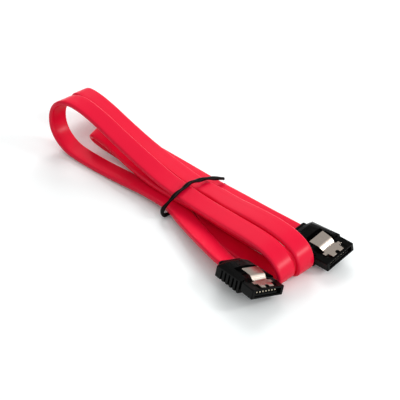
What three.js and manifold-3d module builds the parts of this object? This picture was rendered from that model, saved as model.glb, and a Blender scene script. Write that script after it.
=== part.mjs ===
// A flat red data cable for a computer's drives: one moulded ribbon folded into a hank and held by
// a twist tie, with a seven-contact receptacle and a steel release latch on each end.
// Millimetres, +Z up, lying on the plane z = 0. The hank's long axis is +X, and both plugs point
// towards +X. The origin is on the surface, below the middle of the whole cable.

import * as THREE from 'three';
import { ConvexGeometry } from 'three/addons/geometries/ConvexGeometry.js';
import { RoundedBoxGeometry } from 'three/addons/geometries/RoundedBoxGeometry.js';
import { mergeVertices } from 'three/addons/utils/BufferGeometryUtils.js';
import Module from 'manifold-3d';

const wasm = await Module();
wasm.setup();

// Ribbon
const RIBBON_WIDTH = 7.7;
const RIBBON_THICKNESS = 2.0;
const RIBBON_EDGE_RADIUS = 0.75;
const RIBBON_STEP = 30;                // longest step along a straight stretch
const RIBBON_TURN = 23;                // most degrees that one step may turn
const RIBBON_SAMPLES = 60;             // places tried between two route points, to space the steps
const ENTRY_DEPTH = 2.2;               // length of ribbon inside a plug's boot
const LEAD_LENGTH = 2;                 // straight length of ribbon outside the boot

// Plug: boot, overmould and nose, from the ribbon's exit to the mating face
const BOOT_LENGTH = 2.3;
const BOOT_WIDTH = 9.4;
const BOOT_HEIGHT = 3.3;
const BOOT_ROUNDING = 0.9;
const BOOT_ROOT = 2;                   // length of the boot inside the overmould
const BODY_LENGTH = 12.6;
const BODY_WIDTH = 14.1;
const BODY_REAR_TAPER = 0.25;           // by which each side is drawn in at the rear
const BODY_REAR_DEPTH = 2.6;           // from the ribbon's middle plane down to the underside
const BODY_FRONT_DEPTH = 2.6;
const BODY_REAR_SIDE = 1.0;            // from that plane up to the side wall's top
const BODY_FRONT_SIDE = 1.8;
const BODY_CHAMFER = 2.0;              // width of the slope between side wall and crown
const CROWN_REAR_HEIGHT = 2.3;         // from that plane up to the crown
const CROWN_FRONT_HEIGHT = 2.6;
const CROWN_REAR_SETBACK = 1.2;        // from the side wall's rear end to the crown's
const CROWN_FRONT_SETBACK = 1.5;       // from the side wall's front end to the crown's

// Thumb pad: the raised dome on the overmould's rear half, as distance across and height
const PAD_LENGTH = 5.7;                // from the overmould's rear to the recess in front
const PAD_REAR_SETBACK = 1.8;          // from the overmould's rear to the dome's full height
const PAD_DOME = [[4.6, 2.5], [3.4, 2.9], [1.7, 3.1]];
const PAD_REAR_DROP = 0.7;             // by which the dome is lower at the overmould's rear
const NOSE_LENGTH = 6.4;
const NOSE_WIDTH = 13.2;
const NOSE_HEIGHT = 3.4;
const NOSE_CORNER = 0.3;
const NOSE_ROOT = 4.2;                 // length of the nose inside the overmould
const NOSE_ROOT_SHOULDER = 1.1;        // by which each side of that length is narrower

// Socket in the nose: a blade slot above a ledge, and beside the ledge a key, as the letter L
const SOCKET_WIDTH = 10.9;
const SOCKET_CEILING = 1.15;            // from the nose's middle plane up to the slot's top
const SLOT_HEIGHT = 1.0;
const LEDGE_HEIGHT = 1.15;
const LEDGE_WIDTH = 9.5;
const LEDGE_SETBACK = 0.4;             // from the mating face to the ledge
const SOCKET_DEPTH = 6;

// Contacts
const CONTACT_COUNT = 7;
const CONTACT_PITCH = 1.27;
const CONTACT_OFFSET = -0.3;          // of the row's middle from the nose's
const CONTACT_WIDTH = 0.6;
const CONTACT_THICKNESS = 0.25;
const CONTACT_LENGTH = 4.6;
const CONTACT_ARCH = 0.4;              // rise of the spring arch near the tip
const CONTACT_ARCH_LENGTH = 2.4;
const CONTACT_SETBACK = 0.8;           // from the mating face to the contact's tip
const CONTACT_GROOVE = 0.35;           // depth of the groove that it lies in

// Grip ribs on the overmould's sides
const GRIP_COUNT = 5;
const GRIP_PITCH = 2.0;
const GRIP_GROOVE = 0.9;
const GRIP_DEPTH = 0.55;
const GRIP_RIM = 0.35;                 // from a groove's top to the side wall's top
const GRIP_FIRST = 3.2;                // from the overmould's rear to the first groove's middle

// Release latch: a bent steel leaf in a recess that runs along the plug's top
const LATCH_THICKNESS = 0.3;
const LATCH_REAR_WIDTH = 6.7;
const LATCH_BEND_WIDTH = 6.1;
const LATCH_PLATE_WIDTH = 5.6;
const LATCH_TAB_WIDTH = 7.8;
const LATCH_TONGUE_WIDTH = 5.2;        // across both tongues
const LATCH_LEVER_LENGTH = 4.2;
const LATCH_BEND_LENGTH = 1.6;
const LATCH_PLATE_LENGTH = 4.2;        // with the tongues
const LATCH_TAB_SETBACK = 0.5;         // from the plate's rear edge to its side tabs
const LATCH_TAB_LENGTH = 1.5;
const LATCH_RISE = 1.3;                // height of the lever above the front plate
const LATCH_LEVER_SLOPE = 0.4;         // rise of the lever towards its rear end
const LATCH_NOTCH_WIDTH = 1.5;         // between the two tongues
const LATCH_NOTCH_LENGTH = 1.1;
const LATCH_SETBACK = 0.75;            // from the mating face to the tongues' tips
const LATCH_RECESS_DEPTH = 0.25;       // below the nose's top
const LEVER_RECESS_HALF_WIDTH = 4.6;   // of the recess in the overmould
const LEVER_RECESS_FLOOR = 1.65;       // its height above the ribbon's middle plane

// Clearances
const FIT = 0.3;                       // between pieces that touch
const CONTACT_FIT = 0.1;               // on each side of a contact in its groove
const PRESS_ROOM = 0.35;               // between the latch's plate and the floor of its recess
const CONTACT_LIFT = 0.03;             // between a contact and the floor of its groove
const OPEN_END = 1;                    // by which a cut runs out past the face that it opens
const WELD_DISTANCE = 1e-4;            // below which two corners of a solid are one

// Twist tie
const TIE_DIAMETER = 1.5;
const TIE_SIDES = 8;
const TIE_STEPS = 56;

// Middle of the cable's footprint, in the numbers that the route below is written in
const FOOTPRINT_CENTRE = [-7.329, -6.042];

// Plugs: the middle of the mating face, then heading, pitch and roll in degrees
const PLUGS = [
    { name: '1', face: [60.95, -22.7, 5.5], heading: -8.5, pitch: 3, roll: -16 },
    { name: '2', face: [64.1, 9.6, 4.5], heading: -1.4, pitch: 1.5, roll: 11 }
];

// Middle of the ribbon from plug 1 to plug 2: x, y, z and the ribbon's roll in degrees
const ROUTE = [
    // first run, under the bundle
    [25, -15.8, 3.8, -12],
    [12, -11.4, 2.85, -6],
    [1, -7.75, 2.62, -1],
    [-12, -6.9, 2.3, 0],
    [-26, -7.3, 1.5, 0],
    [-40, -7.9, 1.12, 0],
    // large loop at the left
    [-50, -8.1, 1.2, 0],
    [-56, -8.1, 1.6, 0],
    [-60.3, -8.0, 3.0, 0],
    [-64.1, -7.9, 5.7, 0],
    [-66.2, -7.7, 9.4, 0],
    [-66.5, -7.3, 14.0, 0],
    [-64.7, -6.8, 18.1, 0],
    [-61.5, -6.1, 20.5, 0],
    [-57.6, -5.0, 21.2, 0],
    [-53.0, -3.8, 20.0, 0],
    // top run of the large loop
    [-45, -2.6, 16.9, 2],
    [-36, -2.3, 13.7, 4],
    [-20, -2.7, 9.6, 7],
    [-8, -3.4, 7.6, 7],
    [2, -4.1, 7.2, 6],
    [13, -4.8, 7.1, 6],
    [27, -6.4, 8.5, 6],
    // front fold
    [41, -8.4, 10.3, 6],
    [49, -9.6, 10.7, 6],
    [54.5, -10.4, 9.4, 5],
    [57.4, -10.7, 6.5, 3],
    [57.8, -10.6, 3.7, 1],
    [55.8, -10.4, 1.5, 0],
    [51, -10.1, 1.2, 0],
    // lower run under the bundle
    [44, -9.2, 1.12, 0],
    [37, -9.0, 1.05, 0],
    [30, -8.4, 1.05, 0],
    [23, -6.9, 1.1, 0],
    [16, -4.3, 1.4, 0],
    [8, -1.3, 2.4, 0],
    [0, 0.7, 2.6, 0],
    [-14, 2.0, 2.3, 0],
    [-30, 3.4, 1.4, 2],
    // small inner loop
    [-41, 3.7, 2.2, 12],
    [-49.6, 3.0, 3.7, 22],
    [-53.6, 1.9, 5.8, 25],
    [-52.4, 0.8, 8.2, 25],
    // middle run
    [-46, 0.3, 8.4, 22],
    [-38, -0.1, 7.0, 17],
    [-28, -1.4, 5.8, 12],
    [-14, -3.0, 4.9, 5],
    [0, -3.4, 4.9, 2],
    [11, -3.3, 4.95, 0],
    [24, -2.7, 3.6, 0],
    [38, -2.6, 3.3, 0],
    // back fold
    [45.5, -2.5, 3.3, 0],
    [51.5, -2.2, 1.9, 0],
    [56.2, -2.4, 1.3, 0],
    [58.7, -2.6, 3.4, 0],
    [58.8, -2.6, 6.6, 2],
    [56.7, -2.5, 9.9, 4],
    [51.6, -1.9, 11.6, 5],
    [44, -0.7, 11.6, 4],
    // upper run behind the front fold's
    [33, 0.9, 10.2, 2],
    [20, 2.8, 7.8, 0],
    [10, 4.5, 6.4, -2],
    [0, 4.9, 5.65, -3],
    [-16, 6.4, 6.0, -3],
    [-33, 8.5, 6.8, 0],
    [-47, 10.1, 8.6, 0],
    [-60, 11.3, 11.0, 0],
    // loop at the back
    [-69.5, 11.7, 12.3, 0],
    [-75.5, 11.9, 11.7, 0],
    [-77.9, 12.1, 8.9, 0],
    [-76.1, 12.4, 6.2, 0],
    [-70.5, 12.6, 4.8, 0],
    // backmost run
    [-56, 12.7, 3.2, 0],
    [-38, 12.4, 2.3, 0],
    [-18, 11.8, 2.6, -3],
    [0, 11.1, 2.95, -4],
    [14, 10.8, 3.3, 0],
    [28, 10.3, 3.7, 4]
];

// Middle of the tie's wire round the bundle, from one twisted end to the other
const TIE_ROUTE = [
    [3.4, 15.6, 4.9],
    [2.7, 13.8, 5.6],
    [2.0, 11.6, 6.3],
    [1.5, 8.8, 7.35],
    [1.2, 4.4, 8.4],
    [1.3, -0.2, 9.4],
    [1.8, -4.4, 9.0],
    [2.1, -8.3, 8.4],
    [1.5, -10.6, 6.4],
    [1.0, -13.2, 4.3],
    [0.7, -13.8, 2.4],
    [0.8, -13.2, 1.1],
    [1.0, -10.6, 0.8],
    [1.6, 0.0, 0.8],
    [2.3, 10.0, 0.8],
    [2.7, 14.4, 0.95],
    [2.9, 15.8, 1.7],
    [3.0, 16.1, 2.9]
];

const RED_PVC = new THREE.MeshStandardMaterial({ color: 0xd80f2c, roughness: 0.42, metalness: 0 });
const BLACK_OVERMOULD = new THREE.MeshStandardMaterial({ color: 0x141414, roughness: 0.62, metalness: 0 });
const BLACK_HOUSING = new THREE.MeshStandardMaterial({ color: 0x0d0d0d, roughness: 0.38, metalness: 0 });
const SPRING_STEEL = new THREE.MeshStandardMaterial({ color: 0xb9b2a8, roughness: 0.3, metalness: 1 });
const GOLD_PLATE = new THREE.MeshStandardMaterial({ color: 0xd9b25f, roughness: 0.25, metalness: 1 });
const TIE_COAT = new THREE.MeshStandardMaterial({ color: 0x100d0e, roughness: 0.45, metalness: 0 });

// Solids for joining and cutting

function toSolid(geometry) {
    const bare = geometry.clone();
    bare.deleteAttribute('normal');
    bare.deleteAttribute('uv');
    const merged = mergeVertices(bare, WELD_DISTANCE);
    const vertProperties = new Float32Array(merged.attributes.position.array);
    const triVerts = new Uint32Array(merged.index.array);
    return new wasm.Manifold(new wasm.Mesh({ numProp: 3, vertProperties, triVerts }));
}

function toGeometry(solid) {
    const mesh = solid.getMesh();
    const geometry = new THREE.BufferGeometry();
    geometry.setAttribute('position', new THREE.BufferAttribute(mesh.vertProperties, 3));
    geometry.setIndex(new THREE.BufferAttribute(mesh.triVerts, 1));
    geometry.computeVertexNormals();
    return geometry;
}

// A box between two corners
function block(low, high) {
    const size = high.map((value, axis) => value - low[axis]);
    const middle = high.map((value, axis) => (value + low[axis]) / 2);
    return toSolid(new THREE.BoxGeometry(...size).translate(...middle));
}

// A box with rounded edges between two corners
function roundedBlock(low, high, radius) {
    const size = high.map((value, axis) => value - low[axis]);
    const middle = high.map((value, axis) => (value + low[axis]) / 2);
    return toSolid(new RoundedBoxGeometry(...size, 2, radius).translate(...middle));
}

// A side outline, drawn along the plug (x) and up (z), made as wide as given about the middle plane
function sideProfile(points, width) {
    const shape = new THREE.Shape(points.map(([x, z]) => new THREE.Vector2(x, z)));
    const geometry = new THREE.ExtrudeGeometry(shape, { depth: width, bevelEnabled: false });
    return toSolid(geometry.rotateX(Math.PI / 2).translate(0, width / 2, 0));
}

// Route of a flat ribbon: a smooth curve whose frame follows the roll that each point states

class RibbonPath extends THREE.Curve {
    constructor(stations, longestStep, mostTurn) {
        super();
        this.places = new THREE.CatmullRomCurve3(stations.map(([x, y, z]) => new THREE.Vector3(x, y, z)));
        this.rolls = stations.map((station) => station[3]);
        this.stations = this.spread(longestStep, THREE.MathUtils.degToRad(mostTurn));
    }

    getPoint(t) {
        return this.places.getPoint(t);
    }

    frameAt(t) {
        const tangent = this.places.getTangent(t);
        const place = t * (this.rolls.length - 1);
        const before = Math.min(Math.floor(place), this.rolls.length - 2);
        const blend = THREE.MathUtils.smoothstep(place - before, 0, 1);
        const roll = THREE.MathUtils.degToRad(
            THREE.MathUtils.lerp(this.rolls[before], this.rolls[before + 1], blend));
        const across = new THREE.Vector3(0, Math.cos(roll), Math.sin(roll));
        across.addScaledVector(tangent, -across.dot(tangent)).normalize();
        return { tangent, across, upward: tangent.clone().cross(across) };
    }

    // Places along the curve, close together where it bends and far apart where it runs straight
    spread(longestStep, mostTurn) {
        const samples = RIBBON_SAMPLES * (this.rolls.length - 1);
        const reached = [0];
        for (let i = 1; i <= samples; i += 1) {
            const length = this.getPoint(i / samples).distanceTo(this.getPoint((i - 1) / samples));
            const here = this.frameAt(i / samples);
            const last = this.frameAt((i - 1) / samples);
            const turn = here.tangent.angleTo(last.tangent) + here.across.angleTo(last.across) / 2;
            reached.push(reached[i - 1] + length / longestStep + turn / mostTurn);
        }
        const steps = Math.ceil(reached[samples]);
        const stations = [];
        let sample = 0;
        for (let step = 0; step <= steps; step += 1) {
            const goal = Math.min(reached[samples] * step / steps, reached[samples]);
            while (sample < samples - 1 && reached[sample + 1] < goal) {
                sample += 1;
            }
            const rest = (goal - reached[sample]) / (reached[sample + 1] - reached[sample]);
            stations.push((sample + THREE.MathUtils.clamp(rest, 0, 1)) / samples);
        }
        return stations;
    }

    getSpacedPoints() {
        return this.stations.map((t) => this.getPoint(t));
    }

    computeFrenetFrames() {
        const frames = this.stations.map((t) => this.frameAt(t));
        return {
            tangents: frames.map((frame) => frame.tangent),
            normals: frames.map((frame) => frame.across),
            binormals: frames.map((frame) => frame.upward)
        };
    }
}

// Flat section with round corners: width along x, thickness along y
function ribbonSection() {
    const halfWidth = RIBBON_WIDTH / 2 - RIBBON_EDGE_RADIUS;
    const halfThickness = RIBBON_THICKNESS / 2 - RIBBON_EDGE_RADIUS;
    const corners = [[1, 1], [-1, 1], [-1, -1], [1, -1]];
    const points = [];
    corners.forEach(([signX, signY], quarter) => {
        for (let i = 0; i <= 2; i += 1) {
            const angle = (quarter + i / 2) * Math.PI / 2;
            const x = signX * halfWidth + RIBBON_EDGE_RADIUS * Math.cos(angle);
            const y = signY * halfThickness + RIBBON_EDGE_RADIUS * Math.sin(angle);
            points.push(new THREE.Vector2(x, y));
        }
    });
    return new THREE.Shape(points);
}

// The plug's own frame: x towards the mating face, y across, z up, its origin at the ribbon's exit
function plugMatrix(plug) {
    const heading = THREE.MathUtils.degToRad(plug.heading);
    const pitch = THREE.MathUtils.degToRad(plug.pitch);
    const roll = THREE.MathUtils.degToRad(plug.roll);
    const along = new THREE.Vector3(
        Math.cos(heading) * Math.cos(pitch),
        Math.sin(heading) * Math.cos(pitch),
        Math.sin(pitch));
    const across = new THREE.Vector3(0, Math.cos(roll), Math.sin(roll));
    across.addScaledVector(along, -across.dot(along)).normalize();
    const upward = along.clone().cross(across);
    const length = BOOT_LENGTH + BODY_LENGTH + NOSE_LENGTH;
    const exit = new THREE.Vector3(...plug.face).addScaledVector(along, -length);
    return new THREE.Matrix4().makeBasis(along, across, upward).setPosition(exit);
}

// A point of the route on a plug's axis
function stationOnPlug(plug, distance) {
    const point = new THREE.Vector3(distance, 0, 0).applyMatrix4(plugMatrix(plug));
    return [point.x, point.y, point.z, plug.roll];
}

function ribbon() {
    const inside = ENTRY_DEPTH - FIT;
    const stations = [
        stationOnPlug(PLUGS[0], inside),
        stationOnPlug(PLUGS[0], -LEAD_LENGTH),
        ...ROUTE,
        stationOnPlug(PLUGS[1], -LEAD_LENGTH),
        stationOnPlug(PLUGS[1], inside)
    ];
    const path = new RibbonPath(stations, RIBBON_STEP, RIBBON_TURN);
    return new THREE.ExtrudeGeometry(ribbonSection(), {
        steps: path.stations.length - 1,
        extrudePath: path,
        bevelEnabled: false
    });
}

// Twist tie: one coated wire that goes once round the bundle

function twistTie() {
    const path = new THREE.CatmullRomCurve3(TIE_ROUTE.map((point) => new THREE.Vector3(...point)));
    const section = [];
    for (let i = 0; i < TIE_SIDES; i += 1) {
        const angle = 2 * Math.PI * i / TIE_SIDES;
        section.push(new THREE.Vector2(Math.cos(angle), Math.sin(angle)).multiplyScalar(TIE_DIAMETER / 2));
    }
    return new THREE.ExtrudeGeometry(new THREE.Shape(section), {
        steps: TIE_STEPS,
        extrudePath: path,
        bevelEnabled: false
    });
}

// Pieces of a plug, in the plug's own frame

const BODY_START = BOOT_LENGTH;
const BODY_END = BODY_START + BODY_LENGTH;
const FACE = BODY_END + NOSE_LENGTH;
const PLATE_FRONT = FACE - LATCH_SETBACK;
const PLATE_REAR = PLATE_FRONT - LATCH_PLATE_LENGTH;
const LEVER_FRONT = PLATE_REAR - LATCH_BEND_LENGTH;
const LEVER_REAR = LEVER_FRONT - LATCH_LEVER_LENGTH;
const RECESS_FLOOR = NOSE_HEIGHT / 2 - LATCH_RECESS_DEPTH;
const PLATE_UNDERSIDE = RECESS_FLOOR + PRESS_ROOM;
const RECESS_HALF_WIDTH = LATCH_TAB_WIDTH / 2 + FIT;
const ROOT_HALF_WIDTH = NOSE_WIDTH / 2 - NOSE_ROOT_SHOULDER;
const LEDGE_TOP = SOCKET_CEILING - SLOT_HEIGHT;

// Wedge between the boot and the nose, with the thumb pad's dome on its rear half
function overmouldBody() {
    const side = BODY_WIDTH / 2;
    const corners = [];
    for (const sign of [-1, 1]) {
        const rearSide = sign * (side - BODY_REAR_TAPER);
        const crownSide = sign * (side - BODY_CHAMFER);
        corners.push(
            [BODY_START, rearSide, -BODY_REAR_DEPTH],
            [BODY_START, rearSide, BODY_REAR_SIDE],
            [BODY_START + CROWN_REAR_SETBACK, crownSide, CROWN_REAR_HEIGHT],
            [BODY_END, sign * side, -BODY_FRONT_DEPTH],
            [BODY_END, sign * side, BODY_FRONT_SIDE],
            [BODY_END - CROWN_FRONT_SETBACK, crownSide, CROWN_FRONT_HEIGHT]);
        for (const [across, height] of PAD_DOME) {
            corners.push(
                [BODY_START, sign * across, height - PAD_REAR_DROP],
                [BODY_START + PAD_REAR_SETBACK, sign * across, height],
                [BODY_START + PAD_LENGTH, sign * across, height]);
        }
    }
    return toSolid(new ConvexGeometry(corners.map((corner) => new THREE.Vector3(...corner))));
}

function gripGroove(index, sign) {
    const along = GRIP_FIRST + index * GRIP_PITCH;
    const middle = BODY_START + along;
    const sideTop = THREE.MathUtils.lerp(BODY_REAR_SIDE, BODY_FRONT_SIDE, along / BODY_LENGTH);
    const outer = sign * (BODY_WIDTH / 2 + OPEN_END);
    const inner = sign * (BODY_WIDTH / 2 - GRIP_DEPTH);
    return block(
        [middle - GRIP_GROOVE / 2, Math.min(outer, inner), -BODY_FRONT_DEPTH - OPEN_END],
        [middle + GRIP_GROOVE / 2, Math.max(outer, inner), sideTop - GRIP_RIM]);
}

function overmould() {
    const boot = roundedBlock(
        [0, -BOOT_WIDTH / 2, -BOOT_HEIGHT / 2],
        [BODY_START + BOOT_ROOT, BOOT_WIDTH / 2, BOOT_HEIGHT / 2],
        BOOT_ROUNDING);
    let solid = overmouldBody().add(boot);
    // pocket for the ribbon's end
    solid = solid.subtract(block(
        [-OPEN_END, -RIBBON_WIDTH / 2 - FIT, -RIBBON_THICKNESS / 2 - FIT],
        [ENTRY_DEPTH, RIBBON_WIDTH / 2 + FIT, RIBBON_THICKNESS / 2 + FIT]));
    for (let i = 0; i < GRIP_COUNT; i += 1) {
        solid = solid.subtract(gripGroove(i, -1)).subtract(gripGroove(i, 1));
    }
    // seat of the nose's root
    solid = solid.subtract(block(
        [BODY_END - NOSE_ROOT - FIT, -ROOT_HALF_WIDTH - FIT, -NOSE_HEIGHT / 2 - FIT],
        [BODY_END + OPEN_END, ROOT_HALF_WIDTH + FIT, NOSE_HEIGHT / 2 + FIT]));
    // recess that the lever stands in, open to the front
    return solid.subtract(block(
        [BODY_START + PAD_LENGTH, -LEVER_RECESS_HALF_WIDTH, LEVER_RECESS_FLOOR],
        [BODY_END + OPEN_END, LEVER_RECESS_HALF_WIDTH, CROWN_FRONT_HEIGHT + OPEN_END]));
}

function housing() {
    const nose = roundedBlock(
        [BODY_END + FIT, -NOSE_WIDTH / 2, -NOSE_HEIGHT / 2],
        [FACE, NOSE_WIDTH / 2, NOSE_HEIGHT / 2],
        NOSE_CORNER);
    const root = block(
        [BODY_END - NOSE_ROOT, -ROOT_HALF_WIDTH, -NOSE_HEIGHT / 2],
        [BODY_END + 2 * FIT + NOSE_CORNER, ROOT_HALF_WIDTH, NOSE_HEIGHT / 2]);
    const floor = LEDGE_TOP - LEDGE_HEIGHT;
    const ledgeEnd = LEDGE_WIDTH - SOCKET_WIDTH / 2;
    // blade slot over the ledge, the shallow mouth in front of the ledge, and the key beside it
    let solid = nose.add(root).subtract(block(
        [FACE - SOCKET_DEPTH, -SOCKET_WIDTH / 2, LEDGE_TOP],
        [FACE + OPEN_END, SOCKET_WIDTH / 2, SOCKET_CEILING]));
    solid = solid.subtract(block(
        [FACE - LEDGE_SETBACK, -SOCKET_WIDTH / 2, floor],
        [FACE + OPEN_END, SOCKET_WIDTH / 2, SOCKET_CEILING]));
    solid = solid.subtract(block(
        [FACE - SOCKET_DEPTH, ledgeEnd, floor],
        [FACE + OPEN_END, SOCKET_WIDTH / 2, SOCKET_CEILING]));
    for (let i = 0; i < CONTACT_COUNT; i += 1) {
        const across = contactAcross(i);
        const halfWidth = CONTACT_WIDTH / 2 + CONTACT_FIT;
        solid = solid.subtract(block(
            [FACE - SOCKET_DEPTH, across - halfWidth, LEDGE_TOP - CONTACT_GROOVE],
            [FACE + OPEN_END, across + halfWidth, SOCKET_CEILING]));
    }
    // recess for the latch's plate
    return solid.subtract(block(
        [BODY_END - NOSE_ROOT - OPEN_END, -RECESS_HALF_WIDTH, RECESS_FLOOR],
        [PLATE_FRONT + FIT, RECESS_HALF_WIDTH, NOSE_HEIGHT]));
}

function contactAcross(index) {
    return (index - (CONTACT_COUNT - 1) / 2) * CONTACT_PITCH + CONTACT_OFFSET;
}

// A strip whose front half rises as a low spring arch into the slot
function contact(index) {
    const tip = FACE - CONTACT_SETBACK;
    const rear = tip - CONTACT_LENGTH;
    const low = LEDGE_TOP - CONTACT_GROOVE + CONTACT_LIFT;
    const high = low + CONTACT_THICKNESS;
    const outline = [
        [rear, low],
        [tip, low],
        [tip, high],
        [tip - CONTACT_ARCH_LENGTH / 2, high + CONTACT_ARCH],
        [tip - CONTACT_ARCH_LENGTH, high],
        [rear, high]
    ];
    return sideProfile(outline, CONTACT_WIDTH).translate([0, contactAcross(index), 0]);
}

// The leaf as seen from the side, cut to its outline as seen from above
function latch() {
    const low = PLATE_UNDERSIDE;
    const high = low + LATCH_THICKNESS;
    const leverLow = low + LATCH_RISE;
    const leverHigh = leverLow + LATCH_THICKNESS;
    const leaf = sideProfile([
        [PLATE_REAR + LATCH_THICKNESS / 2, low],
        [LEVER_FRONT + LATCH_THICKNESS / 2, leverLow],
        [LEVER_REAR, leverLow + LATCH_LEVER_SLOPE],
        [LEVER_REAR, leverHigh + LATCH_LEVER_SLOPE],
        [LEVER_FRONT, leverHigh],
        [PLATE_REAR, high],
        [PLATE_FRONT, high],
        [PLATE_FRONT, low]
    ], LATCH_TAB_WIDTH);
    const tabStart = PLATE_REAR + LATCH_TAB_SETBACK;
    const tabEnd = tabStart + LATCH_TAB_LENGTH;
    const notchEnd = PLATE_FRONT - LATCH_NOTCH_LENGTH;
    const oneSide = [
        [LEVER_REAR, LATCH_REAR_WIDTH],
        [LEVER_FRONT, LATCH_BEND_WIDTH],
        [PLATE_REAR, LATCH_PLATE_WIDTH],
        [tabStart, LATCH_PLATE_WIDTH],
        [tabStart, LATCH_TAB_WIDTH],
        [tabEnd, LATCH_TAB_WIDTH],
        [tabEnd, LATCH_PLATE_WIDTH],
        [notchEnd, LATCH_TONGUE_WIDTH],
        [PLATE_FRONT, LATCH_TONGUE_WIDTH],
        [PLATE_FRONT, LATCH_NOTCH_WIDTH],
        [notchEnd, LATCH_NOTCH_WIDTH]
    ].map(([along, width]) => new THREE.Vector2(along, width / 2));
    const otherSide = oneSide.map((point) => new THREE.Vector2(point.x, -point.y)).reverse();
    const plan = new THREE.ExtrudeGeometry(
        new THREE.Shape([...oneSide, ...otherSide]),
        { depth: leverHigh + LATCH_LEVER_SLOPE + OPEN_END, bevelEnabled: false });
    return leaf.intersect(toSolid(plan));
}

// Every piece, in one group

function piece(name, geometry, material) {
    const mesh = new THREE.Mesh(geometry, material);
    mesh.name = name;
    return mesh;
}

function plugGroup(plug) {
    const group = new THREE.Group();
    group.add(piece(`overmould_${plug.name}`, toGeometry(overmould()), BLACK_OVERMOULD));
    group.add(piece(`housing_${plug.name}`, toGeometry(housing()), BLACK_HOUSING));
    group.add(piece(`latch_${plug.name}`, toGeometry(latch()), SPRING_STEEL));
    for (let i = 0; i < CONTACT_COUNT; i += 1) {
        group.add(piece(`contact_${plug.name}_${i + 1}`, toGeometry(contact(i)), GOLD_PLATE));
    }
    group.applyMatrix4(plugMatrix(plug));
    return group;
}

const cable = new THREE.Group();
cable.add(piece('ribbon', ribbon(), RED_PVC));
cable.add(piece('twist_tie', twistTie(), TIE_COAT));
for (const plug of PLUGS) {
    cable.add(plugGroup(plug));
}
cable.position.set(-FOOTPRINT_CENTRE[0], -FOOTPRINT_CENTRE[1], 0);

export default cable;
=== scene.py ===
"""Looks of a flat red data cable, folded into a hank, with a latching receptacle on each end.

Sizes are in metres, apart from the routes and outlines whose comments say millimetres.
"""

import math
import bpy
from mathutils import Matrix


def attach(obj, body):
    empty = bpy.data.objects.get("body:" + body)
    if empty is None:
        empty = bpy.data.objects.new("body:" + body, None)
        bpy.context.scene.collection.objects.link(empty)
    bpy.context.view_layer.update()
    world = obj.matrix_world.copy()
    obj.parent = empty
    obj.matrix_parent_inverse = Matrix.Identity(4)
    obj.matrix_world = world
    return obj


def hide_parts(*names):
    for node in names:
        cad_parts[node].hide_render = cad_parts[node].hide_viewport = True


bl_info = {
    "name": "Folded data cable",
    "version": (1, 0, 0),
    "blender": (4, 5, 0),
    "location": "3D View > Sidebar > Data Cable",
    "description": "Dresses a folded data cable: ribbon, twist tie, grips, receptacles and latches",
    "category": "Object",
}

import bmesh
import bpy
import numpy as np
from bpy.props import FloatProperty, FloatVectorProperty, IntProperty, PointerProperty
from bpy.types import Operator, Panel, PropertyGroup
from mathutils import Matrix, Vector

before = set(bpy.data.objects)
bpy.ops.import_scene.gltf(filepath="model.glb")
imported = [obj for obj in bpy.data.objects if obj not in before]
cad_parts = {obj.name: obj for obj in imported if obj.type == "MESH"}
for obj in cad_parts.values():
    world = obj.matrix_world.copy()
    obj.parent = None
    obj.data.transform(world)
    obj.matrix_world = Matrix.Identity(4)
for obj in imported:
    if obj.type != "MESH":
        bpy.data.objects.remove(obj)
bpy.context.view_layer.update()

MM = 0.001

# Middle of the cable's footprint, in the numbers that the routes are written in
FOOTPRINT_CENTRE = Vector((-7.329, -6.042, 0))

# Plugs: the middle of the mating face in millimetres, then heading, pitch and roll in degrees
PLUGS = {
    "1": {"face": (60.95, -22.7, 5.5), "heading": -8.5, "pitch": 3, "roll": -16},
    "2": {"face": (64.1, 9.6, 4.5), "heading": -1.4, "pitch": 1.5, "roll": 11},
}
PLUG_LENGTH = 21.3 * MM
# The ribbon's end inside its boot, and its straight stretch before the boot
ENTRY = 1.9 * MM
LEAD = 2 * MM

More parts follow.
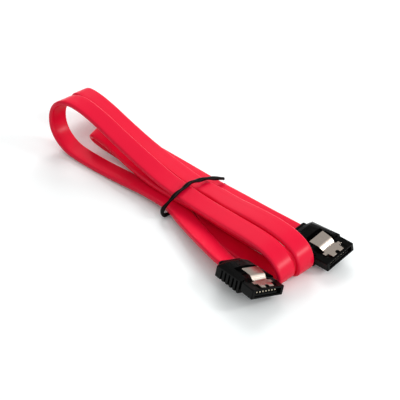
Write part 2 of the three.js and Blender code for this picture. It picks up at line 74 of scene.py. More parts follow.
# Middle of the ribbon from plug 1 to plug 2: x, y, z in millimetres and roll in degrees
ROUTE = (
    # first run, under the bundle
    (25, -15.8, 3.8, -12),
    (12, -11.4, 2.85, -6),
    (1, -7.75, 2.62, -1),
    (-12, -6.9, 2.3, 0),
    (-26, -7.3, 1.5, 0),
    (-40, -7.9, 1.12, 0),
    # large loop at the left
    (-50, -8.1, 1.2, 0),
    (-56, -8.1, 1.6, 0),
    (-60.3, -8.0, 3.0, 0),
    (-64.1, -7.9, 5.7, 0),
    (-66.2, -7.7, 9.4, 0),
    (-66.5, -7.3, 14.0, 0),
    (-64.7, -6.8, 18.1, 0),
    (-61.5, -6.1, 20.5, 0),
    (-57.6, -5.0, 21.2, 0),
    (-53.0, -3.8, 20.0, 0),
    # top run of the large loop
    (-45, -2.6, 16.9, 2),
    (-36, -2.3, 13.7, 4),
    (-20, -2.7, 9.6, 7),
    (-8, -3.4, 7.6, 7),
    (2, -4.1, 7.2, 6),
    (13, -4.8, 7.1, 6),
    (27, -6.4, 8.5, 6),
    # front fold
    (41, -8.4, 10.3, 6),
    (49, -9.6, 10.7, 6),
    (54.5, -10.4, 9.4, 5),
    (57.4, -10.7, 6.5, 3),
    (57.8, -10.6, 3.7, 1),
    (55.8, -10.4, 1.5, 0),
    (51, -10.1, 1.2, 0),
    # lower run under the bundle
    (44, -9.2, 1.12, 0),
    (37, -9.0, 1.05, 0),
    (30, -8.4, 1.05, 0),
    (23, -6.9, 1.1, 0),
    (16, -4.3, 1.4, 0),
    (8, -1.3, 2.4, 0),
    (0, 0.7, 2.6, 0),
    (-14, 2.0, 2.3, 0),
    (-30, 3.4, 1.4, 2),
    # small inner loop
    (-41, 3.7, 2.2, 12),
    (-49.6, 3.0, 3.7, 22),
    (-53.6, 1.9, 5.8, 25),
    (-52.4, 0.8, 8.2, 25),
    # middle run
    (-46, 0.3, 8.4, 22),
    (-38, -0.1, 7.0, 17),
    (-28, -1.4, 5.8, 12),
    (-14, -3.0, 4.9, 5),
    (0, -3.4, 4.9, 2),
    (11, -3.3, 4.95, 0),
    (24, -2.7, 3.6, 0),
    (38, -2.6, 3.3, 0),
    # back fold
    (45.5, -2.5, 3.3, 0),
    (51.5, -2.2, 1.9, 0),
    (56.2, -2.4, 1.3, 0),
    (58.7, -2.6, 3.4, 0),
    (58.8, -2.6, 6.6, 2),
    (56.7, -2.5, 9.9, 4),
    (51.6, -1.9, 11.6, 5),
    (44, -0.7, 11.6, 4),
    # upper run behind the front fold's
    (33, 0.9, 10.2, 2),
    (20, 2.8, 7.8, 0),
    (10, 4.5, 6.4, -2),
    (0, 4.9, 5.65, -3),
    (-16, 6.4, 6.0, -3),
    (-33, 8.5, 6.8, 0),
    (-47, 10.1, 8.6, 0),
    (-60, 11.3, 11.0, 0),
    # loop at the back
    (-69.5, 11.7, 12.3, 0),
    (-75.5, 11.9, 11.7, 0),
    (-77.9, 12.1, 8.9, 0),
    (-76.1, 12.4, 6.2, 0),
    (-70.5, 12.6, 4.8, 0),
    # backmost run
    (-56, 12.7, 3.2, 0),
    (-38, 12.4, 2.3, 0),
    (-18, 11.8, 2.6, -3),
    (0, 11.1, 2.95, -4),
    (14, 10.8, 3.3, 0),
    (28, 10.3, 3.7, 4),
)
# Lengths of ribbon over which its path and its roll are evened out
PATH_SOFTENING = 1.0 * MM
ROLL_SOFTENING = 5 * MM

# Middle of the twist tie, once round the bundle, in millimetres
TIE_ROUTE = (
    (3.2, 15.0, 5.2),
    (2.7, 13.8, 5.6),
    (2.0, 11.6, 6.3),
    (1.5, 8.8, 7.35),
    (1.2, 4.4, 8.4),
    (1.3, -0.2, 9.4),
    (1.8, -4.4, 9.0),
    (2.1, -8.3, 8.4),
    (1.5, -10.6, 6.4),
    (1.0, -13.2, 4.3),
    (0.7, -13.8, 2.4),
    (0.8, -13.2, 1.1),
    (1.0, -10.6, 0.8),
    (1.6, 0.0, 0.8),
    (2.3, 10.0, 0.8),
    (2.7, 14.4, 0.95),
    (2.9, 15.8, 1.7),
    (2.95, 16.0, 2.3),
)
# Distance between the tie's cross sections, and the count of them that its path is evened out over
TIE_STEP = 0.3 * MM
TIE_SOFTENING = 2

# Latch leaf in a plug's own frame, in millimetres: distance from the ribbon's exit and height of
# the leaf's underside, from the lever's rear edge to the tongues' tips
LATCH_SIDE = (
    (10.55, 3.52),
    (12.2, 3.36),
    (13.8, 3.18),
    (14.4, 3.09),
    (14.75, 2.90),
    (15.1, 2.60),
    (15.7, 2.13),
    (16.05, 1.90),
    (16.4, 1.82),
    (17.1, 1.80),
    (19.2, 1.80),
    (19.9, 1.76),
    (20.55, 1.64),
)
# Width of the same leaf at distances from the ribbon's exit, without its side tabs
LATCH_PLAN = ((10.55, 6.7), (14.75, 6.1), (16.35, 5.6), (19.4, 5.4), (20.55, 5.1))
LATCH_TAB_START = 16.85
LATCH_TAB_END = 18.35
LATCH_TAB_WIDTH = 7.8
LATCH_NOTCH_START = 19.3
LATCH_NOTCH_WIDTH = 1.5
# Pressed lines across the latch's bend, by their distance from the ribbon's exit
LATCH_LINES = (15.42, 15.66, 15.9)
LATCH_LINE_DEPTH = 0.06
LATCH_LINE_WIDTH = 0.06
# Distance between the leaf's rows of points, and the faces across each half of it
LATCH_STEP = 0.06
LATCH_COLUMNS = 6

# Contacts in a plug's own frame, in millimetres: the middle line of each strip from its rear end
# to the curl at its tip, the distance between its rows of points, then the row of contacts
CONTACT_SIDE = (
    (15.9, -0.05),
    (18.2, -0.05),
    (19.2, 0.18),
    (19.8, 0.5),
    (20.15, 0.58),
    (20.45, 0.42),
    (20.55, 0.12),
)
CONTACT_STEP = 0.1
CONTACT_COUNT = 7
CONTACT_PITCH = 1.27
CONTACT_OFFSET = -0.3
CONTACT_WIDTH = 0.5
CONTACT_THICKNESS = 0.16

# Rounding of the finer edges and the faces across it
RECEPTACLE_ROUNDING = 0.08 * MM
LATCH_ROUNDING = 0.06 * MM
FINE_SEGMENTS = 2
# Angles between faces: up to the first they merge, and from the others on their edge is rounded
FLAT_ANGLE = math.radians(1)
MOULDED_EDGE_ANGLE = math.radians(28)
LATCH_EDGE_ANGLE = math.radians(50)

# Lamps: name, place, size, power in watts, and whether gloss shows the lamp
LAMPS = (
    ("Back light", (-0.64, 0.74, 0.58), 0.65, 8.8, False),
    ("Side light", (0.36, 0.02, 0.16), 0.15, 0.25, True),
    ("Window light", (0.68, 0.5, 0.56), 0.2, 2.4, True),
)
# Even light from all round, and what gloss sees of the backdrop on its dim and its bright side
WORLD_LEVEL = 0.58
BACKDROP_DIM = 0.38
BACKDROP_BRIGHT = 1.0
# The same backdrop's span from dim to bright, as the X of a direction
BACKDROP_SPAN = (-0.1, 0.6)

# Floor: its size, then the white and the glow that the camera sees of it
FLOOR_SIZE = 8
FLOOR_WHITE = (0.97, 1, 1)
FLOOR_GLOW = 0.05

# Camera: the point of the floor that it looks at, in the routes' numbers, then its direction,
# distance and lens
CAMERA_TARGET = Vector((1.702, 4.215, 0))
CAMERA_ELEVATION = math.radians(34)
CAMERA_AZIMUTH = math.radians(46)
CAMERA_DISTANCE = 0.42
CAMERA_LENS = 102.8


# Sizes and colours that a user would change

class CableSizes(PropertyGroup):
    """Sizes of the pieces that are made here"""
    ribbon_width: FloatProperty(
        name="Ribbon width", description="Across the flat ribbon",
        default=7.7 * MM, min=4 * MM, max=12 * MM, unit="LENGTH", precision=5)
    ribbon_thickness: FloatProperty(
        name="Ribbon thickness", description="Through the flat ribbon",
        default=2.0 * MM, min=1 * MM, max=3 * MM, unit="LENGTH", precision=5)
    ribbon_rounding: FloatProperty(
        name="Ribbon rounding", description="Radius of the ribbon's long edges",
        default=0.85 * MM, min=0.2 * MM, max=1 * MM, unit="LENGTH", precision=5)
    ribbon_step: FloatProperty(
        name="Ribbon step", description="Distance between the ribbon's cross sections",
        default=0.8 * MM, min=0.3 * MM, max=3 * MM, unit="LENGTH", precision=5)
    tie_width: FloatProperty(
        name="Tie width", description="Across the twist tie's flat coat",
        default=1.6 * MM, min=0.8 * MM, max=3 * MM, unit="LENGTH", precision=5)
    tie_thickness: FloatProperty(
        name="Tie thickness", description="Through the twist tie's coat at its wire",
        default=1.15 * MM, min=0.4 * MM, max=2 * MM, unit="LENGTH", precision=5)
    tie_pitch: FloatProperty(
        name="Tie pitch", description="Length of tie in which its flat coat twists once",
        default=13 * MM, min=3 * MM, max=30 * MM, unit="LENGTH", precision=5)
    latch_thickness: FloatProperty(
        name="Latch thickness", description="Through the latch's steel",
        default=0.3 * MM, min=0.1 * MM, max=0.6 * MM, unit="LENGTH", precision=5)
    edge_rounding: FloatProperty(
        name="Edge rounding", description="Radius of the moulded grips' edges",
        default=0.28 * MM, min=0.05 * MM, max=0.6 * MM, unit="LENGTH", precision=5)
    edge_segments: IntProperty(
        name="Edge segments", description="Faces across each rounded edge",
        default=3, min=1, max=6)


class CableColours(PropertyGroup):
    """Base colours of the materials"""
    ribbon: FloatVectorProperty(
        name="Ribbon", description="Moulded PVC of the ribbon",
        default=(0.87, 0.004, 0.040), min=0, max=1, subtype="COLOR")
    grip: FloatVectorProperty(
        name="Grip", description="Moulded grip behind each receptacle",
        default=(0.003, 0.003, 0.003), min=0, max=1, subtype="COLOR")
    receptacle: FloatVectorProperty(
        name="Receptacle", description="Hard plastic of each receptacle",
        default=(0.0025, 0.0025, 0.0025), min=0, max=1, subtype="COLOR")
    latch: FloatVectorProperty(
        name="Latch", description="Rolled spring steel of each latch",
        default=(0.82, 0.71, 0.62), min=0, max=1, subtype="COLOR")
    contact: FloatVectorProperty(
        name="Contact", description="Plating of each contact",
        default=(0.66, 0.58, 0.44), min=0, max=1, subtype="COLOR")
    tie: FloatVectorProperty(
        name="Tie", description="Coat of the twist tie",
        default=(0.004, 0.003, 0.003), min=0, max=1, subtype="COLOR")
    floor: FloatVectorProperty(
        name="Floor", description="Floor under the cable",
        default=(0.50, 0.50, 0.50), min=0, max=1, subtype="COLOR")


# Shader nodes

def feed(tree, socket, value):
    """Links another node's output to a socket, or sets the socket to a plain value."""
    if isinstance(value, bpy.types.NodeSocket):
        tree.links.new(value, socket)
    else:
        socket.default_value = value


def add_node(tree, kind, **values):
    """A node with its inputs fed. Their names are written with underscores for spaces."""
    node = tree.nodes.new(kind)
    for name, value in values.items():
        feed(tree, node.inputs[name.replace("_", " ")], value)
    return node


def add_math(tree, operation, first, second):
    """The output of a Math node that is fed two values."""
    node = tree.nodes.new("ShaderNodeMath")
    node.operation = operation
    feed(tree, node.inputs[0], first)
    feed(tree, node.inputs[1], second)
    return node.outputs[0]


def new_group(name, inputs, outputs):
    """An empty node group, with its input and output nodes."""
    tree = bpy.data.node_groups.new(name, "ShaderNodeTree")
    for label, kind, default in inputs:
        socket = tree.interface.new_socket(label, in_out="INPUT", socket_type=kind)
        socket.default_value = default
    for label, kind in outputs:
        tree.interface.new_socket(label, in_out="OUTPUT", socket_type=kind)
    return tree, tree.nodes.new("NodeGroupInput"), tree.nodes.new("NodeGroupOutput")


def mottle_group():
    """Uneven colour and gloss, in soft patches."""
    found = bpy.data.node_groups.get("Mottle")
    if found:
        return found
    tree, given, result = new_group(
        "Mottle",
        [("Colour", "NodeSocketColor", (0.5, 0.5, 0.5, 1)),
         ("Unevenness", "NodeSocketFloat", 0.1),
         ("Patch scale", "NodeSocketFloat", 300.0),
         ("Gloss low", "NodeSocketFloat", 0.3),
         ("Gloss high", "NodeSocketFloat", 0.4)],
        [("Colour", "NodeSocketColor"), ("Roughness", "NodeSocketFloat")])
    place = tree.nodes.new("ShaderNodeTexCoord")
    patches = add_node(
        tree, "ShaderNodeTexNoise",
        Vector=place.outputs["Object"],
        Scale=given.outputs["Patch scale"],
        Detail=3.0,
        Roughness=0.55)
    # the noise keeps to the middle of its range
    least, most = 0.3, 0.7
    shade = add_node(
        tree, "ShaderNodeMapRange",
        Value=patches.outputs["Fac"],
        From_Min=least,
        From_Max=most,
        To_Min=add_math(tree, "SUBTRACT", 1.0, given.outputs["Unevenness"]),
        To_Max=add_math(tree, "ADD", 1.0, given.outputs["Unevenness"]))
    shaded = add_node(
        tree, "ShaderNodeHueSaturation",
        Value=shade.outputs["Result"],
        Color=given.outputs["Colour"])
    gloss = add_node(
        tree, "ShaderNodeMapRange",
        Value=patches.outputs["Fac"],
        From_Min=least,
        From_Max=most,
        To_Min=given.outputs["Gloss low"],
        To_Max=given.outputs["Gloss high"])
    feed(tree, result.inputs["Colour"], shaded.outputs["Color"])
    feed(tree, result.inputs["Roughness"], gloss.outputs["Result"])
    return tree


def grain_group():
    """Height of a fine moulded or rolled grain, stretched along one axis where that is wanted."""
    found = bpy.data.node_groups.get("Grain")
    if found:
        return found
    tree, given, result = new_group(
        "Grain",
        [("Vector", "NodeSocketVector", (0, 0, 0)),
         ("Stretch", "NodeSocketVector", (1, 1, 1)),
         ("Scale", "NodeSocketFloat", 2500.0)],
        [("Height", "NodeSocketFloat")])
    stretched = tree.nodes.new("ShaderNodeVectorMath")
    stretched.operation = "MULTIPLY"
    feed(tree, stretched.inputs[0], given.outputs["Vector"])
    feed(tree, stretched.inputs[1], given.outputs["Stretch"])
    fine = add_node(
        tree, "ShaderNodeTexNoise",
        Vector=stretched.outputs["Vector"],
        Scale=given.outputs["Scale"],
        Detail=2.0,
        Roughness=0.6)
    feed(tree, result.inputs["Height"], fine.outputs["Fac"])
    return tree


def new_material(name, metallic=0.0, specular=0.5):
    """A material with a bare Principled shader. Returns the material, its tree and the shader."""
    material = bpy.data.materials.new(name)
    material.use_nodes = True
    tree = material.node_tree
    shader = tree.nodes["Principled BSDF"]
    shader.inputs["Metallic"].default_value = metallic
    shader.inputs["Specular IOR Level"].default_value = specular
    return material, tree, shader


def add_mottle(tree, shader, colour, unevenness, patch_scale, gloss):
    """Feeds the shader's colour and roughness. gloss holds the least and the most roughness."""
    mottle = tree.nodes.new("ShaderNodeGroup")
    mottle.node_tree = mottle_group()
    mottle.inputs["Colour"].default_value = (*colour, 1)
    mottle.inputs["Unevenness"].default_value = unevenness
    mottle.inputs["Patch scale"].default_value = patch_scale
    mottle.inputs["Gloss low"].default_value = gloss[0]
    mottle.inputs["Gloss high"].default_value = gloss[1]
    feed(tree, shader.inputs["Base Color"], mottle.outputs["Colour"])
    feed(tree, shader.inputs["Roughness"], mottle.outputs["Roughness"])


def add_grain(tree, shader, scale, depth, strength, source="Object", stretch=(1, 1, 1)):
    """Feeds the shader's normal from a grain over the object's or the UV map's coordinates."""
    place = tree.nodes.new("ShaderNodeTexCoord")
    grain = tree.nodes.new("ShaderNodeGroup")
    grain.node_tree = grain_group()
    grain.inputs["Stretch"].default_value = stretch
    grain.inputs["Scale"].default_value = scale
    feed(tree, grain.inputs["Vector"], place.outputs[source])
    bump = add_node(
        tree, "ShaderNodeBump",
        Height=grain.outputs["Height"],
        Strength=strength,
        Distance=depth)
    feed(tree, shader.inputs["Normal"], bump.outputs["Normal"])


def ribbon_pvc(colours):
    material, tree, shader = new_material("Ribbon PVC", specular=0.22)
    add_mottle(
        tree, shader, colours.ribbon, unevenness=0.03, patch_scale=45.0, gloss=(0.28, 0.33))
    # faint lines that the die leaves along the ribbon
    add_grain(
        tree, shader, scale=1.0, depth=0.05 * MM, strength=0.35,
        source="UV", stretch=(8, 1800, 1))
    return material


def grip_plastic(colours):
    material, tree, shader = new_material("Grip plastic", specular=0.06)
    add_mottle(
        tree, shader, colours.grip, unevenness=0.25, patch_scale=500.0, gloss=(0.24, 0.36))
    add_grain(tree, shader, scale=4200.0, depth=0.03 * MM, strength=0.5)
    return material


def receptacle_plastic(colours):
    material, tree, shader = new_material("Receptacle plastic", specular=0.08)
    add_mottle(
        tree, shader, colours.receptacle, unevenness=0.2, patch_scale=400.0, gloss=(0.16, 0.26))
    add_grain(tree, shader, scale=3000.0, depth=0.02 * MM, strength=0.25)
    return material


def latch_steel(colours):
    material, tree, shader = new_material("Latch steel", metallic=1.0)
    add_mottle(
        tree, shader, colours.latch, unevenness=0.03, patch_scale=250.0, gloss=(0.20, 0.27))
    # rolling marks across the leaf
    add_grain(
        tree, shader, scale=1.0, depth=0.004 * MM, strength=0.25, stretch=(9000, 300, 300))
    return material


def contact_plating(colours):
    material, tree, shader = new_material("Contact plating", metallic=1.0)
    add_mottle(
        tree, shader, colours.contact, unevenness=0.06, patch_scale=1500.0, gloss=(0.36, 0.46))
    return material


def tie_coat(colours):
    material, tree, shader = new_material("Tie coat", specular=0.1)
    add_mottle(
        tree, shader, colours.tie, unevenness=0.3, patch_scale=900.0, gloss=(0.26, 0.40))
    add_grain(tree, shader, scale=3500.0, depth=0.04 * MM, strength=0.5)
    return material


# Curves and swept pieces

def in_frame(point):
    """A point of the routes in the frame's coordinates, in metres."""
    return (Vector(point) - FOOTPRINT_CENTRE) * MM


def plug_matrix(name):
    """The plug's own frame: x towards the mating face, y across, z up, from the ribbon's exit."""
    plug = PLUGS[name]
    heading, pitch, roll = (math.radians(plug[key]) for key in ("heading", "pitch", "roll"))
    along = Vector((
        math.cos(heading) * math.cos(pitch),
        math.sin(heading) * math.cos(pitch),
        math.sin(pitch)))
    across = Vector((0, math.cos(roll), math.sin(roll)))
    across = (across - along * across.dot(along)).normalized()
    upward = along.cross(across)
    exit_point = in_frame(plug["face"]) - along * PLUG_LENGTH
    matrix = Matrix((along, across, upward)).transposed().to_4x4()
    matrix.translation = exit_point
    return matrix


def smooth_line(points, step):
    """Even steps along a smooth curve through points.

    Returns the places and, for each place, its count along the points.
    """
    points = np.array([list(point) for point in points])
    padded = np.vstack([2 * points[0] - points[1], points, 2 * points[-1] - points[-2]])
    fine_step = step / 4
    places = []
    marks = []
    for i in range(len(points) - 1):
        p0, p1, p2, p3 = padded[i:i + 4]
        d0, d1, d2 = (
            max(np.linalg.norm(b - a), 1e-9) ** 0.5
            for a, b in ((p0, p1), (p1, p2), (p2, p3)))
        start = ((p1 - p0) / d0 - (p2 - p0) / (d0 + d1) + (p2 - p1) / d1) * d1
        end = ((p2 - p1) / d1 - (p3 - p1) / (d1 + d2) + (p3 - p2) / d2) * d1
        count = max(2, math.ceil(np.linalg.norm(p2 - p1) / fine_step))
        t = np.linspace(0, 1, count, endpoint=False)[:, None]
        places.append(
            p1 + start * t
            + (3 * (p2 - p1) - 2 * start - end) * t ** 2
            + (2 * (p1 - p2) + start + end) * t ** 3)
        marks.append(i + t[:, 0])
    places = np.vstack(places + [points[-1:]])
    marks = np.append(np.concatenate(marks), len(points) - 1)
    reach = np.append(0, np.cumsum(np.linalg.norm(np.diff(places, axis=0), axis=1)))
    even = np.linspace(0, reach[-1], max(2, round(reach[-1] / step)) + 1)
    line = np.stack([np.interp(even, reach, places[:, axis]) for axis in range(3)], axis=1)
    return line, np.interp(even, reach, marks)


def softened(values, spread):
    """Values along a line, evened out over spread steps, with both ends kept."""
    reach = math.ceil(3 * spread)
    weights = np.exp(-0.5 * (np.arange(-reach, reach + 1) / spread) ** 2)
    weights /= weights.sum()
    values = np.asarray(values, float)
    before = 2 * values[0] - values[reach:0:-1]
    after = 2 * values[-1] - values[-2:-reach - 2:-1]
    padded = np.concatenate([before, values, after])
    if padded.ndim == 1:
        return np.convolve(padded, weights, "valid")
    return np.stack([np.convolve(column, weights, "valid") for column in padded.T], axis=1)


def unit(rows):
    """The same directions with length 1."""
    return rows / np.linalg.norm(rows, axis=1)[:, None]


def square_to(tangent, sideways):
    """The sideways directions, turned square to the line."""
    return unit(sideways - tangent * np.sum(sideways * tangent, axis=1)[:, None])


def ribbon_line(step):
    """Middle of the ribbon and its width's direction, at even steps from plug 1 to plug 2."""
    first, last = plug_matrix("1"), plug_matrix("2")
    points = [first @ Vector((ENTRY, 0, 0)), first @ Vector((-LEAD, 0, 0))]
    points += [in_frame(station[:3]) for station in ROUTE]
    points += [last @ Vector((-LEAD, 0, 0)), last @ Vector((ENTRY, 0, 0))]
    rolls = [PLUGS["1"]["roll"]] * 2 + [station[3] for station in ROUTE] + [PLUGS["2"]["roll"]] * 2
    line, marks = smooth_line(points, step)
    line = softened(line, PATH_SOFTENING / step)
    roll = softened(np.interp(marks, np.arange(len(rolls)), rolls), ROLL_SOFTENING / step)
    roll = np.radians(roll)
    tangent = unit(np.gradient(line, axis=0))
    sideways = np.stack([np.zeros(len(roll)), np.cos(roll), np.sin(roll)], axis=1)
    return line, tangent, square_to(tangent, sideways)


def ribbon_section(sizes):
    """Flat section with round edges: places across and through the ribbon."""
    radius = sizes.ribbon_rounding
    half_width = sizes.ribbon_width / 2 - radius
    half_thickness = sizes.ribbon_thickness / 2 - radius
    arc_steps = 6
    flat_steps = 4
    section = []
    for quarter, (side, face) in enumerate(((1, 1), (-1, 1), (-1, -1), (1, -1))):
        for i in range(arc_steps + 1):
            angle = (quarter + i / arc_steps) * math.pi / 2
            section.append((
                side * half_width + radius * math.cos(angle),
                face * half_thickness + radius * math.sin(angle)))
        if side * face > 0:
            for i in range(1, flat_steps):
                section.append((
                    face * half_width * (1 - 2 * i / flat_steps),
                    face * sizes.ribbon_thickness / 2))
    return section


def tie_section(sizes, turn):
    """Oval section of the coat over its wire, turned by an angle."""
    section = []
    corners = 20
    for i in range(corners):
        angle = 2 * math.pi * i / corners
        x = sizes.tie_width / 2 * math.cos(angle)
        y = sizes.tie_thickness / 2 * math.sin(angle)
        section.append((
            x * math.cos(turn) - y * math.sin(turn),
            x * math.sin(turn) + y * math.cos(turn)))
    return section


def new_piece(name, mesh):
    """Turns a bmesh into a piece of the scene."""
    data = bpy.data.meshes.new(name)
    mesh.to_mesh(data)
    mesh.free()
    piece = bpy.data.objects.new(name, data)
    bpy.context.scene.collection.objects.link(piece)
    return piece


def sweep(name, line, sideways, upward, sections):
    """A mesh through rings: sections holds each ring's places along sideways and upward.

    Its UV map holds metres along the line and round the section.
    """
    mesh = bmesh.new()
    rings = []
    for place, side, up, section in zip(line, sideways, upward, sections):
        rings.append([mesh.verts.new(place + side * x + up * y) for x, y in section])
    uv = mesh.loops.layers.uv.new("Along and round")
    reach = np.append(0, np.cumsum(np.linalg.norm(np.diff(line, axis=0), axis=1)))
    count = len(rings[0])
    section = np.array(list(sections[0]) + [sections[0][0]])
    round_reach = np.append(0, np.cumsum(np.linalg.norm(np.diff(section, axis=0), axis=1)))
    for i in range(len(rings) - 1):
        for j in range(count):
            k = (j + 1) % count
            face = mesh.faces.new((rings[i][j], rings[i + 1][j], rings[i + 1][k], rings[i][k]))
            corners = ((i, j), (i + 1, j), (i + 1, j + 1), (i, j + 1))
            for loop, (along, around) in zip(face.loops, corners):
                loop[uv].uv = (reach[along], round_reach[around])
            face.smooth = True
    mesh.faces.new(rings[0])
    mesh.faces.new(rings[-1][::-1])
    bmesh.ops.recalc_face_normals(mesh, faces=mesh.faces)
    return new_piece(name, mesh)


def latch_leaf(name, matrix):
    """The latch's bent leaf, in two halves that part at the notch between its tongues."""
    side, _ = smooth_line([(x, 0, z) for x, z in LATCH_SIDE], LATCH_STEP)
    distances, widths = zip(*LATCH_PLAN)
    radius = LATCH_NOTCH_WIDTH / 2
    mesh = bmesh.new()
    for sign in (-1, 1):
        rows = []
        for x, _, z in side:
            half = np.interp(x, distances, widths) / 2
            depth = min(max(x - LATCH_NOTCH_START, 0), radius)
            slit = math.sqrt(radius ** 2 - (radius - depth) ** 2)
            reach = [
                slit + (half - slit) * k / LATCH_COLUMNS for k in range(LATCH_COLUMNS + 1)]
            if LATCH_TAB_START <= x <= LATCH_TAB_END:
                reach += [(half + LATCH_TAB_WIDTH / 2) / 2, LATCH_TAB_WIDTH / 2]
            pressed = sum(
                math.exp(-((x - line) / LATCH_LINE_WIDTH) ** 2) for line in LATCH_LINES)
            height = z - LATCH_LINE_DEPTH * pressed
            rows.append([
                mesh.verts.new(matrix @ (Vector((x, sign * y, height)) * MM)) for y in reach])
        for rear, front in zip(rows, rows[1:]):
            for k in range(min(len(rear), len(front)) - 1):
                corners = (rear[k], front[k], front[k + 1], rear[k + 1])
                face = mesh.faces.new(corners[::sign])
                face.smooth = True
    bmesh.ops.remove_doubles(mesh, verts=mesh.verts, dist=0.001 * MM)
    return new_piece(name, mesh)


def contact_springs(name, matrix):
    """All the spring strips of one receptacle's contacts, with their curled tips."""
    side, _ = smooth_line([(x, 0, z) for x, z in CONTACT_SIDE], CONTACT_STEP)
    mesh = bmesh.new()
    for number in range(CONTACT_COUNT):
        middle = (number - (CONTACT_COUNT - 1) / 2) * CONTACT_PITCH + CONTACT_OFFSET
        rows = []
        for x, _, z in side:
            rows.append([
                mesh.verts.new(matrix @ (Vector((x, middle + part * CONTACT_WIDTH / 2, z)) * MM))
                for part in (-1, 0, 1)])
        for rear, front in zip(rows, rows[1:]):
            for k in range(2):
                face = mesh.faces.new((rear[k], front[k], front[k + 1], rear[k + 1]))
                face.smooth = True
    return new_piece(name, mesh)


def dress(piece, material):
    """Gives a piece or a CAD node its material."""
    piece.data.materials.clear()
    piece.data.materials.append(material)
    return piece


def round_edges(piece, width, segments, least_angle):
    bevel = piece.modifiers.new("Round edges", "BEVEL")
    bevel.width = width
    bevel.segments = segments
    bevel.limit_method = "ANGLE"
    bevel.angle_limit = least_angle
    bevel.harden_normals = True


def round_moulding(piece, width, segments):
    """Merges the flat faces of a moulding, then rounds the edges between them."""
    merge = piece.modifiers.new("Flat faces", "DECIMATE")
    merge.decimate_type = "DISSOLVE"
    merge.angle_limit = FLAT_ANGLE
    round_edges(piece, width, segments, MOULDED_EDGE_ANGLE)
    for polygon in piece.data.polygons:
        polygon.use_smooth = True


def thicken(piece, thickness, offset):
    """Gives a sheet its thickness, with offset 0 for both sides of it and 1 for the upper side."""
    solid = piece.modifiers.new("Thickness", "SOLIDIFY")
    solid.thickness = thickness
    solid.offset = offset


# One operator for each kind of piece

class CABLE_OT_ribbon(Operator):
    """Lays the flat ribbon along its route, from one plug to the other"""
    bl_idname = "data_cable.ribbon"
    bl_label = "Ribbon"

    def execute(self, context):
        sizes = context.scene.cable_sizes
        line, tangent, across = ribbon_line(sizes.ribbon_step)
        upward = np.cross(tangent, across)
        section = ribbon_section(sizes)
        piece = sweep("cable_ribbon", line, across, upward, [section] * len(line))
        dress(piece, ribbon_pvc(context.scene.cable_colours))
        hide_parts("ribbon")
        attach(piece, "cable")
        plug_matrix("1").translation
        return {"FINISHED"}


class CABLE_OT_tie(Operator):
    """Puts the twist tie round the bundle"""
    bl_idname = "data_cable.tie"
    bl_label = "Twist tie"

    def execute(self, context):
        sizes = context.scene.cable_sizes
        line, _ = smooth_line([in_frame(point) for point in TIE_ROUTE], TIE_STEP)
        line = softened(line, TIE_SOFTENING)
        tangent = unit(np.gradient(line, axis=0))
        sideways = square_to(tangent, np.tile((1.0, 0.0, 0.0), (len(line), 1)))
        upward = np.cross(tangent, sideways)
        turn_per_step = 2 * math.pi * TIE_STEP / sizes.tie_pitch
        sections = [tie_section(sizes, i * turn_per_step) for i in range(len(line))]
        piece = sweep("wire_tie", line, sideways, upward, sections)
        dress(piece, tie_coat(context.scene.cable_colours))
        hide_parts("twist_tie")
        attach(piece, "cable")
        return {"FINISHED"}


class CABLE_OT_grips(Operator):
    """Rounds and paints the moulded grip behind each receptacle"""
    bl_idname = "data_cable.grips"
    bl_label = "Grips"

    def execute(self, context):
        sizes = context.scene.cable_sizes
        material = grip_plastic(context.scene.cable_colours)
        for plug in PLUGS:
            node = dress(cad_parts[f"overmould_{plug}"], material)
            round_moulding(node, sizes.edge_rounding, sizes.edge_segments)
        return {"FINISHED"}


class CABLE_OT_receptacles(Operator):
    """Rounds and paints the receptacles and fills them with their plated contacts"""
    bl_idname = "data_cable.receptacles"
    bl_label = "Receptacles"

    def execute(self, context):
        colours = context.scene.cable_colours
        plastic = receptacle_plastic(colours)
        plating = contact_plating(colours)
        for plug in PLUGS:
            node = dress(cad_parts[f"housing_{plug}"], plastic)
            round_moulding(node, RECEPTACLE_ROUNDING, FINE_SEGMENTS)
            piece = contact_springs(f"contact_springs_{plug}", plug_matrix(plug))
            dress(piece, plating)
            thicken(piece, CONTACT_THICKNESS * MM, 0)
            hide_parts(*(f"contact_{plug}_{number + 1}" for number in range(CONTACT_COUNT)))
            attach(piece, "cable")
        return {"FINISHED"}


class CABLE_OT_latches(Operator):
    """Bends the steel latch of each receptacle"""
    bl_idname = "data_cable.latches"
    bl_label = "Latches"

    def execute(self, context):
        sizes = context.scene.cable_sizes
        steel = latch_steel(context.scene.cable_colours)
        for plug in PLUGS:
            piece = latch_leaf(f"latch_leaf_{plug}", plug_matrix(plug))
            dress(piece, steel)
            thicken(piece, sizes.latch_thickness, 1)
            round_edges(piece, LATCH_ROUNDING, FINE_SEGMENTS, LATCH_EDGE_ANGLE)
            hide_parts(f"latch_{plug}")
            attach(piece, f"release_{plug}")
        return {"FINISHED"}


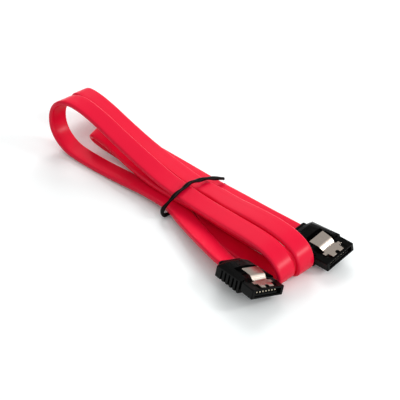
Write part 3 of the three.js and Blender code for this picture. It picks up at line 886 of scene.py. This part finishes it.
def floor_material(colour):
    """A pale floor that shows as white to the camera and in reflections, and keeps its shadows."""
    material = bpy.data.materials.new("Floor")
    material.use_nodes = True
    tree = material.node_tree
    tree.nodes.clear()
    ray = tree.nodes.new("ShaderNodeLightPath").outputs
    direct = add_math(tree, "MAXIMUM", ray["Is Camera Ray"], ray["Is Glossy Ray"])
    direct = add_math(tree, "MAXIMUM", direct, ray["Is Transmission Ray"])
    plain = add_node(tree, "ShaderNodeBsdfDiffuse", Color=(*colour, 1))
    white = add_node(tree, "ShaderNodeBsdfDiffuse", Color=(*FLOOR_WHITE, 1))
    glow = add_node(tree, "ShaderNodeEmission", Color=(1, 1, 1, 1), Strength=FLOOR_GLOW)
    lifted = tree.nodes.new("ShaderNodeAddShader")
    feed(tree, lifted.inputs[0], white.outputs[0])
    feed(tree, lifted.inputs[1], glow.outputs[0])
    mixed = add_node(tree, "ShaderNodeMixShader", Fac=direct)
    feed(tree, mixed.inputs[1], plain.outputs[0])
    feed(tree, mixed.inputs[2], lifted.outputs[0])
    add_node(tree, "ShaderNodeOutputMaterial", Surface=mixed.outputs[0])
    return material


def white_world():
    """Even light from all round.

    The camera sees white, and gloss sees a backdrop that dims towards -X.
    """
    world = bpy.data.worlds.new("Studio")
    world.use_nodes = True
    tree = world.node_tree
    ray = tree.nodes.new("ShaderNodeLightPath").outputs
    direction = tree.nodes.new("ShaderNodeTexCoord").outputs["Generated"]
    split = add_node(tree, "ShaderNodeSeparateXYZ", Vector=direction)
    backdrop = add_node(
        tree, "ShaderNodeMapRange",
        Value=split.outputs["X"],
        From_Min=BACKDROP_SPAN[0],
        From_Max=BACKDROP_SPAN[1],
        To_Min=BACKDROP_DIM,
        To_Max=BACKDROP_BRIGHT)
    mirrored = add_math(tree, "MAXIMUM", ray["Is Glossy Ray"], ray["Is Transmission Ray"])
    unseen = add_node(
        tree, "ShaderNodeMapRange",
        Value=mirrored,
        To_Min=WORLD_LEVEL,
        To_Max=backdrop.outputs["Result"])
    level = add_node(
        tree, "ShaderNodeMapRange",
        Value=ray["Is Camera Ray"],
        To_Min=unseen.outputs["Result"],
        To_Max=1.0)
    background = tree.nodes["Background"]
    feed(tree, background.inputs["Color"], (1, 1, 1, 1))
    feed(tree, background.inputs["Strength"], level.outputs["Result"])
    return world


def soft_light(name, place, size, power, mirrored):
    """A square lamp that faces the cable, and shows in gloss only where mirrored is true."""
    data = bpy.data.lights.new(name, "AREA")
    data.shape = "SQUARE"
    data.size = size
    data.energy = power
    lamp = bpy.data.objects.new(name, data)
    lamp.visible_glossy = mirrored
    bpy.context.scene.collection.objects.link(lamp)
    lamp.location = place
    lamp.rotation_euler = Vector(place).to_track_quat("Z", "Y").to_euler()


class CABLE_OT_stage(Operator):
    """Sets the floor, the soft light and the camera"""
    bl_idname = "data_cable.stage"
    bl_label = "Stage"

    def execute(self, context):
        scene = context.scene
        scene.view_settings.view_transform = "Standard"
        bpy.ops.mesh.primitive_plane_add(size=FLOOR_SIZE, location=(0, 0, 0))
        floor = context.object
        floor.name = "floor"
        dress(floor, floor_material(scene.cable_colours.floor))
        scene.world = white_world()
        for lamp in LAMPS:
            soft_light(*lamp)
        back = Vector((
            math.sin(CAMERA_AZIMUTH) * math.cos(CAMERA_ELEVATION),
            -math.cos(CAMERA_AZIMUTH) * math.cos(CAMERA_ELEVATION),
            math.sin(CAMERA_ELEVATION)))
        data = bpy.data.cameras.new("Camera")
        data.lens = CAMERA_LENS
        data.clip_start = 0.01
        camera = bpy.data.objects.new("Camera", data)
        scene.collection.objects.link(camera)
        camera.location = in_frame(CAMERA_TARGET) + back * CAMERA_DISTANCE
        camera.rotation_euler = back.to_track_quat("Z", "Y").to_euler()
        scene.camera = camera
        return {"FINISHED"}


class CABLE_PT_pieces(Panel):
    """Lists the cable's pieces, its sizes and its colours"""
    bl_idname = "CABLE_PT_pieces"
    bl_label = "Data Cable"
    bl_space_type = "VIEW_3D"
    bl_region_type = "UI"
    bl_category = "Data Cable"

    def draw(self, context):
        layout = self.layout
        for operator in OPERATORS:
            layout.operator(operator.bl_idname)
        for group in (context.scene.cable_sizes, context.scene.cable_colours):
            box = layout.box()
            for name in group.__annotations__:
                box.prop(group, name)


OPERATORS = (
    CABLE_OT_stage,
    CABLE_OT_grips,
    CABLE_OT_receptacles,
    CABLE_OT_latches,
    CABLE_OT_ribbon,
    CABLE_OT_tie,
)
CLASSES = (CableSizes, CableColours, *OPERATORS, CABLE_PT_pieces)


def register():
    for each in CLASSES:
        bpy.utils.register_class(each)
    bpy.types.Scene.cable_sizes = PointerProperty(type=CableSizes)
    bpy.types.Scene.cable_colours = PointerProperty(type=CableColours)


def unregister():
    del bpy.types.Scene.cable_colours
    del bpy.types.Scene.cable_sizes
    for each in reversed(CLASSES):
        bpy.utils.unregister_class(each)


def main():
    register()
    bpy.ops.data_cable.stage()
    bpy.ops.data_cable.grips()
    bpy.ops.data_cable.receptacles()
    bpy.ops.data_cable.latches()
    bpy.ops.data_cable.ribbon()
    bpy.ops.data_cable.tie()


if __name__ == "__main__":
    main()
